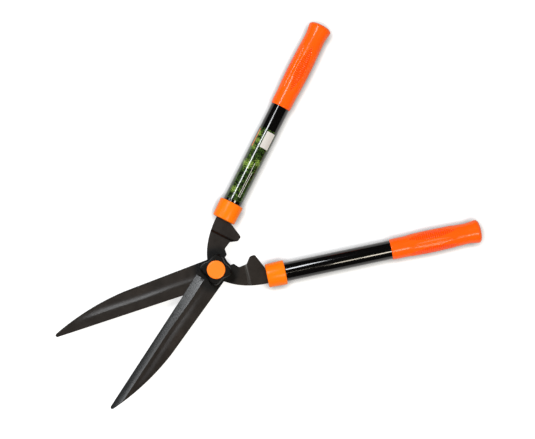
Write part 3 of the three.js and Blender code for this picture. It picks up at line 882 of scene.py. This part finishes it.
def press_blade(blade, place, side, sizes):
    """Divides the blade finely, then gives it its pressed slope and hollow-ground bevel."""
    low, high = hollow_span(side, sizes)
    faded = sizes.fade_start + sizes.fade_run
    most = int((sizes.fade_start - high) / COARSE) + 2
    middle = [high + COARSE * i for i in range(1, most)]
    across_blade = [
        sizes.bevel_start + sizes.bevel_run_in,
        *evenly(low, high, START_PARTS),
        *(station for station in middle if station < sizes.fade_start),
        *evenly(sizes.fade_start, faded, FADE_PARTS),
        *(faded + COARSE * i for i in range(1, PAST_FADE + 1)),
    ]
    first = math.ceil(sizes.bevel_width / FINE) + 1
    last = int((sizes.bevel_width + sizes.slope_width + PAST_SLOPE) / FINE)
    along_blade = evenly(0, sizes.bevel_width, BEVEL_PARTS)[1:]
    along_blade += [FINE * i for i in range(first, last)]
    edit(blade)
    divide(place, sizes.bevel_start)
    leave_edit()
    for axis, stations in enumerate((across_blade, along_blade)):
        for station in stations:
            select_blade(blade, place, sizes)
            edit_selected(blade, "FACE")
            divide(place, station, axis)
            leave_edit()
    shape_faces(blade, place, side, sizes)


def select_blade(blade, place, sizes):
    """Selects the faces past the start of the ground bevel."""
    points = points_on(blade, place)
    for face in blade.data.polygons:
        nearest = min(points[i].x for i in face.vertices)
        face.select = nearest > sizes.bevel_start - TOUCHING


def shape_faces(blade, place, side, sizes):
    """Presses both faces of the blade outwards, and grinds the bevel off the outer one."""
    points = points_on(blade, place)
    turn = place.to_3x3().inverted()
    outer, inner = set(), set()
    for face in blade.data.polygons:
        lean = (turn @ face.normal).z
        if abs(lean) > FACING:
            (outer if lean > 0 else inner).update(face.vertices)
    base = min(points[i].z for i in inner if points[i].x > sizes.bevel_start)
    for i in outer | inner:
        x, y, _ = points[i]
        if x > sizes.bevel_start - TOUCHING:
            across = widen(x, y, side, sizes)
            level = base + pressed(x, across, side, sizes)
            if i in outer:
                level += sizes.plate - ground_away(x, across, side, sizes)
            blade.data.vertices[i].co = place @ Vector((x, across, level))


def pressed(u, t, side, sizes):
    """How far the sheet stands outwards: a slope that starts quickly and ends slowly."""
    across = share(t - land_width(u, side, sizes), 0, sizes.slope_width)
    across = 1 - (1 - across) ** 4 * (1 + 4 * across)
    along = smooth_step(u, *hollow_span(side, sizes))
    along -= smooth_step(u, sizes.fade_start, sizes.fade_start + sizes.fade_run)
    along *= 1 - sizes.press_heel * nearness(u, sizes)
    return sizes.press_depth * across * along


def bevel_border(u, side, sizes):
    """The ground bevel's width, which only the right half shows to be wider near the hub."""
    return sizes.bevel_width + (sizes.bevel_heel * nearness(u, sizes) if side == "right" else 0)


def ground_away(u, t, side, sizes):
    """How much the bevel takes off the outer face."""
    across = share(t, 0, bevel_border(u, side, sizes))
    depth = (sizes.plate - sizes.edge_thickness) * (1 - across)
    near = nearness(u, sizes)
    dip = sizes.bevel_nose_dip * (1 - near) + sizes.bevel_heel_dip * near
    started = share(u - sizes.bevel_start, 0, sizes.bevel_run_in)
    return started * (depth + dip * 4 * across * (1 - across))


def widen(u, t, side, sizes):
    """Moves the lines that divide the blade out to the bevel's border."""
    beyond = sizes.bevel_width + sizes.slope_width
    moved = min(share(t, 0, sizes.bevel_width), share(beyond - t, 0, sizes.slope_width))
    return t + (bevel_border(u, side, sizes) - sizes.bevel_width) * moved


def mark_ground(blade, place, side, sizes):
    """Gives the ground bevel the second material, and its border a crisp edge."""
    inverse = place.inverted()
    ground = {}
    for face in blade.data.polygons:
        middle = inverse @ face.center
        outwards = (inverse.to_3x3() @ face.normal).z > FACING
        border = bevel_border(middle.x, side, sizes)
        within = 0 < middle.y < border and middle.x > sizes.bevel_start
        face.material_index = 1 if outwards and within else 0
        for key in face.edge_keys:
            ground.setdefault(key, set()).add(face.material_index)
    for edge in blade.data.edges:
        if len(ground.get(edge.key, ())) == 2:
            edge.use_edge_sharp = True


def lay_uv(blade, place):
    """Lays the blade's own axes out as its UV map."""
    points = points_on(blade, place)
    uv = fresh_uv(blade, "blade")
    for loop in blade.data.loops:
        uv[loop.index].uv = points[loop.vertex_index].xy


PIN_SIDES = 32


class SHEARS_OT_tubes(Operator):
    """Turns both tubes, with the holes for their cross pins."""

    bl_idname = "shears.tubes"
    bl_label = "Tubes"

    def execute(self, context):
        sizes = context.scene.shears
        material = enamel(sizes)
        for side in SIDES:
            node = f"{side}_tube"
            place = handle_place(side)
            tube = turned(f"{side}_shaft", pipe(node, place))
            round_edges(tube, sizes.tube_round, 2)
            past = 1.5 * tube_radius(side, place)
            for pin in (f"{side}_pin_front", f"{side}_pin_rear"):
                low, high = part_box(pin)
                radius = (high.x - low.x) / 2 + SEAT
                station = (place.inverted() @ middle_of(pin)).x
                drill(tube, radius, -past, past, PIN_SIDES, math.pi / PIN_SIDES, station)
            weld(tube)
            settle(tube, node, place, material)
        return {"FINISHED"}


def pipe(node, place):
    """The outline of a plain pipe along the X axis of place."""
    stations, reaches = zip(*rings(local_points(node, place)))
    front, rear, bore, outer = min(stations), max(stations), min(reaches), max(reaches)
    return [(front, bore), (front, outer), (rear, outer), (rear, bore), (front, bore)]


class SHEARS_OT_collars(Operator):
    """Turns both collars, with the slot that the flat tang passes through."""

    bl_idname = "shears.collars"
    bl_label = "Collars"

    def execute(self, context):
        sizes = context.scene.shears
        material = plastic("collar_plastic", [sizes.collar], 0.14, 0.27)
        for side in SIDES:
            node = f"{side}_collar"
            place = handle_place(side)
            points = local_points(node, place)
            outline = rings(points)
            front, rear = outline[0][0], outline[-1][0]
            bore = tube_radius(side, place) + SEAT
            floor = min(x for x, radius in outline if abs(radius - bore) < TOUCHING)
            outer = [(x, r) for x, r in outline if r > bore + TOUCHING and r > rim_radius(points, x)]
            corners = [(front, 0), *outer, (rear, bore), (floor, bore), (floor, 0)]
            collar = turned(f"{side}_ferrule", corners)
            slot = [p for p in points if p.x - front < TOUCHING and math.hypot(p.y, p.z) < bore]
            half = Vector((MM, max(p.y for p in slot), max(p.z for p in slot)))
            cut_box(collar, Vector((front, 0, 0)) - half, Vector((floor, 0, 0)) + half)
            round_edges(collar, sizes.collar_round, 3, 30)
            settle(collar, node, place, material)
        return {"FINISHED"}


def rim_radius(points, station):
    """Just under the widest ring at a station."""
    at = [math.hypot(p.y, p.z) for p in points if abs(p.x - station) < TOUCHING]
    return max(at) - TOUCHING


def tube_radius(side, place):
    return max(radius for _, radius in rings(local_points(f"{side}_tube", place)))


GRIP_STEPS = 240  # round the grip
RIB_STEPS = 7  # from one rib to the next
PANEL_SOFTNESS = math.radians(3)  # of the rib panels' borders
RIDGE_RUN_IN = 0.4  # the share of the ridge's reach in which it rises


class SHEARS_OT_grips(Operator):
    """Moulds both grips, with four rib panels and the smooth pads between them."""

    bl_idname = "shears.grips"
    bl_label = "Grips"

    def execute(self, context):
        sizes = context.scene.shears
        colours = sizes.grip, sizes.grip_groove_shade
        material = plastic("grip_plastic", colours, 0.23, 0.20, bump=0.16, dust=0.04)
        for side in SIDES:
            node = f"{side}_grip"
            place = handle_place(side)
            outline = rings(local_points(node, place))
            bore = tube_radius(side, place) + SEAT
            mouth, end = outline[0][0], outline[-1][0]
            floor = max(x for x, radius in outline if abs(radius - bore) < TOUCHING)
            outer = [(x, r) for x, r in outline if abs(r - bore) > TOUCHING and r > TOUCHING]
            fine = smooth_line(outer, sizes.rib_pitch / RIB_STEPS)
            corners = [(mouth, bore), *fine, (end, 0), (floor, 0), (floor, bore), (mouth, bore)]
            grip = turned(f"{side}_handle_grip", corners, GRIP_STEPS)
            turn = getattr(sizes, f"{side}_panel")
            mould(grip, mouth + sizes.panel_middle, bore, turn, sizes)
            settle(grip, node, place, material)
        return {"FINISHED"}


def mould(grip, middle, bore, turn, sizes):
    """Presses the ribs into their panels, marks their hollows for painted shade, and forms the flats
    and their ridges between them.
    """
    quarter = math.pi / 2
    groove_shade = grip.data.attributes.new("groove", "FLOAT", "POINT").data
    for vertex in grip.data.vertices:
        x, y, z = vertex.co
        radius = math.hypot(y, z)
        reach = 1 - ((x - middle) / sizes.panel_reach) ** 2
        if radius < bore + TOUCHING or reach <= 0:
            continue
        off_panel = abs((math.atan2(y, z) - turn + quarter / 2) % quarter - quarter / 2)
        off_flat = quarter / 2 - off_panel
        border = sizes.panel_angle * reach
        panel = 1 - smooth_step(off_panel, border - PANEL_SOFTNESS, border)
        groove = panel * (0.5 - 0.5 * math.cos(2 * math.pi * (x - middle) / sizes.rib_pitch))
        change = -groove * sizes.rib_depth
        flat = sizes.flat_angle * reach
        if off_flat < flat:
            change -= radius * (1 - math.cos(flat) / math.cos(off_flat))
        ridge = 1 - smooth_step(off_flat, 0, sizes.ridge_angle)
        change += sizes.ridge_rise * ridge * smooth_step(reach, 0, RIDGE_RUN_IN)
        vertex.co.y += change * y / radius
        vertex.co.z += change * z / radius
        groove_shade[vertex.index].value = groove


class SHEARS_OT_label(Operator):
    """Wraps the printed film round the right tube."""

    bl_idname = "shears.label"
    bl_label = "Label"

    def execute(self, context):
        place = handle_place("right")
        corners = pipe("tube_label", place)
        film = turned("printed_label", corners)
        wrap_uv(film, *corners[1])
        settle(film, "tube_label", place, printed_film())
        return {"FINISHED"}


def wrap_uv(piece, front, radius):
    """Unrolls a piece turned about X: along it from its front, and round it from its top."""
    mesh = piece.data
    uv = fresh_uv(piece, "wrap")
    for face in mesh.polygons:
        middle = math.atan2(face.center.y, face.center.z)
        for i in face.loop_indices:
            point = mesh.vertices[mesh.loops[i].vertex_index].co
            round_it = math.atan2(point.y, point.z)
            round_it -= 2 * math.pi * round((round_it - middle) / (2 * math.pi))
            uv[i].uv = (point.x - front, round_it * radius)


class SHEARS_OT_knob(Operator):
    """Shapes the lobed tension knob and its cap."""

    bl_idname = "shears.knob"
    bl_label = "Tension knob"

    def execute(self, context):
        sizes = context.scene.shears
        low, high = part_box("tension_knob")
        cap_low, cap_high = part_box("knob_cap")
        cap_radius = (cap_high.x - cap_low.x) / 2
        spigot = max(radii("knob_cap", below=cap_low.z + TOUCHING))
        wide = [p.z for p in local_points("knob_cap") if math.hypot(p.x, p.y) > spigot + TOUCHING]
        shoulder = min(wide)
        knob = lobed_block(cap_radius, sizes)
        round_edges(knob, sizes.knob_round, 5, 60)
        drill(knob, cap_radius + SEAT, shoulder - SEAT, high.z + MM)
        drill(knob, spigot + SEAT, cap_low.z - SEAT, high.z)
        nut_radius = max(radii("knob_nut")) + 2 * SEAT
        nut_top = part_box("knob_nut")[1].z + SEAT
        drill(knob, nut_radius, low.z - MM, nut_top, 6, sizes.knob_turn)
        bolt_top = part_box("pivot_bolt")[1].z
        drill(knob, max(radii("pivot_bolt", above=bolt_top - TOUCHING)) + SEAT, low.z, high.z)
        shade(knob)
        flatten_shading(knob)
        finish(knob, "tension_knob", plastic("knob_plastic", [sizes.knob], 0.14, 0.5, bump=0.2))

        corners = [
            (cap_low.z, 0),
            (cap_low.z, spigot),
            (shoulder, spigot),
            (shoulder, cap_radius),
            (cap_high.z - sizes.cap_drop, cap_radius),
            (cap_high.z, cap_radius - sizes.cap_slant),
            (cap_high.z, 0),
        ]
        cap = turned("knob_button", corners)
        put(cap, Matrix.Rotation(-math.pi / 2, 4, "Y"))
        round_edges(cap, sizes.cap_round, 4, 20)
        shade(cap)
        flatten_shading(cap)
        material = plastic("cap_plastic", [sizes.cap], 0.3, 0.36, grain=0.0022, bump=0.2)
        finish(cap, "knob_cap", material)
        return {"FINISHED"}


LOBE_STEPS = 64  # round each lobe


def lobed_block(cap_radius, sizes):
    """A disc whose rim is a wave round a circle, extruded to the knob's height."""
    low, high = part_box("tension_knob")
    rim = [r for r in radii("tension_knob", low.z + MM, high.z - MM) if r > cap_radius + 2 * MM]
    peak, valley = max(rim), min(rim)
    deselect()
    bpy.ops.mesh.primitive_circle_add(
        vertices=LOBE_STEPS * sizes.knob_lobes, radius=1, fill_type="NGON", location=(0, 0, low.z)
    )
    knob = bpy.context.object
    knob.name = knob.data.name = "lobed_knob"
    keep_place()
    edit(knob)
    bpy.ops.mesh.extrude_region_move(TRANSFORM_OT_translate={"value": (0, 0, high.z - low.z)})
    bpy.ops.mesh.select_all(action="SELECT")
    bpy.ops.mesh.normals_make_consistent(inside=False)
    leave_edit()
    for vertex in knob.data.vertices:
        turn = math.atan2(vertex.co.y, vertex.co.x)
        wave = math.cos(sizes.knob_lobes * (turn - sizes.knob_turn))
        radius = (peak + valley) / 2 + (peak - valley) / 2 * wave
        radius -= sizes.knob_draft * (vertex.co.z - low.z) / (high.z - low.z)
        vertex.co.x = radius * math.cos(turn)
        vertex.co.y = radius * math.sin(turn)
    return knob


class SHEARS_OT_fittings(Operator):
    """Finishes the pivot bolt, its washers, the bush and the pieces inside the handles."""

    bl_idname = "shears.fittings"
    bl_label = "Fittings"

    def execute(self, context):
        sizes = context.scene.shears
        zinc = plated("zinc_plate", sizes.zinc, 0.32)
        brass = plated("turned_brass", sizes.brass, 0.28)
        plug = plastic("plug_plastic", [sizes.plug], 0.5, 0.5, dust=0.1)
        for node, name, material in (
            ("pivot_bolt", "headed_bolt", zinc),
            ("knob_nut", "hex_nut", zinc),
            ("disc_spring", "coned_spring", zinc),
            ("pressure_washer", "flat_washer", zinc),
            ("pivot_bush", "flanged_bush", brass),
        ):
            piece = copied(node, name)
            round_edges(piece, sizes.fitting_round, 2)
            shade(piece)
            flatten_shading(piece)
            finish(piece, node, material)
        for side in SIDES:
            for inside, material in (("tang_plug", plug), ("pin_front", zinc), ("pin_rear", zinc)):
                mesh = NODES[f"{side}_{inside}"].data
                mesh.materials.clear()
                mesh.materials.append(material)
        return {"FINISHED"}


# ---- stage ----

DAYLIGHT, WARM = (0.94, 0.97, 1.0), (1.0, 0.92, 0.76)
# The name, place, size, turn in degrees, power and tint of each lamp.
LAMPS = (
    ("daylight_strip", (0.035, 0.560, 1.0), (0.48, 0.18), 25.6, 5.7, DAYLIGHT),
    ("warm_strip", (0.12, -0.605, 1.0), (0.30, 0.20), -25.6, 3.7, WARM),
    ("warm_end", (-0.09, -0.480, 1.0), (0.16, 0.18), -25.6, 1.4, WARM),
    ("left_softbox", (-0.62, 0.80, 0.90), (0.50, 0.50), 52.4, 2.9, (0.95, 0.97, 1.0)),
)
FILL = 0.66  # the world's strength on the object
GLOSS_FILL = 0.02  # and in its gloss
FLOOR_SIZE = 6
FLOOR_GAP = 0.1 * MM  # below what lies on it
FLOOR_LIFT = 0.66  # how much the floor glows
FLOOR_GLOSS = 0.1  # the share of the glow that shows in the gloss
FLOOR_TONE = 0.56
CONTACT_REACH = 12 * MM  # of the floor's shading round what lies on it
CAMERA_PLACE = (0.0042, -0.0482, 2.2055)
CAMERA_TURN = (0.045678, -0.014996, -0.657074)  # from straight down, in radians about X, Y and Z
CAMERA_LENS = 115.153


class SHEARS_OT_stage(Operator):
    """Lays the floor and sets the lamps, the world and the camera."""

    bl_idname = "shears.stage"
    bl_label = "Stage"

    def execute(self, context):
        lay_floor(cad_box[0].z)
        light_world(context.scene)
        for lamp in LAMPS:
            add_lamp(*lamp)
        set_camera(context.scene)
        context.scene.view_settings.view_transform = "Standard"
        return {"FINISHED"}


def emptied_nodes(owner):
    """The nodes of a new material or world, of which none are left."""
    owner.use_nodes = True
    owner.node_tree.nodes.clear()
    return Nodes(owner.node_tree)


def lay_floor(level):
    deselect()
    bpy.ops.mesh.primitive_plane_add(size=FLOOR_SIZE, location=(0, 0, level - FLOOR_GAP))
    floor = bpy.context.object
    floor.name = "floor"
    material = bpy.data.materials.new("pale_floor")
    nodes = emptied_nodes(material)
    path = nodes.add("ShaderNodeLightPath").outputs
    shown = nodes.math("ADD", path["Is Glossy Ray"], path["Is Transmission Ray"])
    seen = nodes.math("MULTIPLY_ADD", shown, FLOOR_GLOSS, path["Is Camera Ray"], clamp=True)
    # Painted contact shade: an occlusion node darkens the floor's colour and its glow round what lies
    # on it.
    contact = nodes.add("ShaderNodeAmbientOcclusion", {"Distance": CONTACT_REACH}, samples=8)
    near = nodes.math("POWER", contact.outputs["AO"], 2)
    tone = nodes.math("MULTIPLY", near, FLOOR_TONE)
    matt = nodes.add("ShaderNodeBsdfDiffuse", {"Color": tone}).outputs[0]
    lift = nodes.math("MULTIPLY", nodes.math("MULTIPLY", seen, near), FLOOR_LIFT)
    glow = nodes.add("ShaderNodeEmission", {"Strength": lift}).outputs[0]
    pale = nodes.add("ShaderNodeAddShader", {0: matt, 1: glow}).outputs[0]
    below = nodes.add("ShaderNodeNewGeometry").outputs["Backfacing"]
    clear = nodes.add("ShaderNodeBsdfTransparent").outputs[0]
    surface = nodes.add("ShaderNodeMixShader", {0: below, 1: pale, 2: clear}).outputs[0]
    nodes.add("ShaderNodeOutputMaterial", {"Surface": surface})
    floor.data.materials.append(material)


def light_world(scene):
    """White behind the object, dim in its gloss, and a little fill from all round."""
    scene.world = bpy.data.worlds.new("studio")
    nodes = emptied_nodes(scene.world)
    path = nodes.add("ShaderNodeLightPath").outputs
    strength = nodes.math("MULTIPLY_ADD", path["Is Camera Ray"], 1 - FILL, FILL)
    strength = nodes.math("MULTIPLY_ADD", path["Is Glossy Ray"], GLOSS_FILL - FILL, strength)
    light = nodes.add("ShaderNodeBackground", {"Color": (1, 1, 1, 1), "Strength": strength})
    nodes.add("ShaderNodeOutputWorld", {"Surface": light.outputs[0]})


def add_lamp(name, place, size, turn, power, tint):
    """A rectangular lamp over the object, facing its middle, with its long side turned from +X."""
    data = bpy.data.lights.new(name, "AREA")
    data.shape = "RECTANGLE"
    data.size, data.size_y = size
    data.energy = power
    data.color = tint
    middle = (cad_box[0] + cad_box[1]) / 2
    facing = (Vector(place) - middle).normalized()
    side = Vector((math.cos(math.radians(turn)), math.sin(math.radians(turn)), 0))
    side = (side - facing * side.dot(facing)).normalized()
    basis = Matrix((side, facing.cross(side), facing)).transposed()
    new_object(name, data).matrix_world = Matrix.Translation(place) @ basis.to_4x4()


def set_camera(scene):
    data = bpy.data.cameras.new("camera")
    data.sensor_width = 36
    data.lens = CAMERA_LENS
    scene.camera = new_object("camera", data)
    scene.camera.location = CAMERA_PLACE
    scene.camera.rotation_euler = CAMERA_TURN


# ---- add-on ----


class SHEARS_PT_panel(Panel):
    """Lists the shears' operators and sizes."""

    bl_idname = "SHEARS_PT_panel"
    bl_label = "Hedge Shears"
    bl_space_type = "VIEW_3D"
    bl_region_type = "UI"
    bl_category = "Shears"

    def draw(self, context):
        for operator in OPERATORS:
            self.layout.operator(operator.bl_idname)
        for key in ShearsSettings.__annotations__:
            self.layout.prop(context.scene.shears, key)


OPERATORS = (
    SHEARS_OT_stage,
    SHEARS_OT_blades,
    SHEARS_OT_tubes,
    SHEARS_OT_collars,
    SHEARS_OT_grips,
    SHEARS_OT_label,
    SHEARS_OT_knob,
    SHEARS_OT_fittings,
)
CLASSES = (ShearsSettings, *OPERATORS, SHEARS_PT_panel)


def register():
    for each in CLASSES:
        bpy.utils.register_class(each)
    bpy.types.Scene.shears = PointerProperty(type=ShearsSettings)


def unregister():
    del bpy.types.Scene.shears
    for each in reversed(CLASSES):
        bpy.utils.unregister_class(each)


def main():
    register()
    for operator in OPERATORS:
        getattr(bpy.ops.shears, operator.bl_idname.split(".")[1])()


if __name__ == "__main__":
    main()
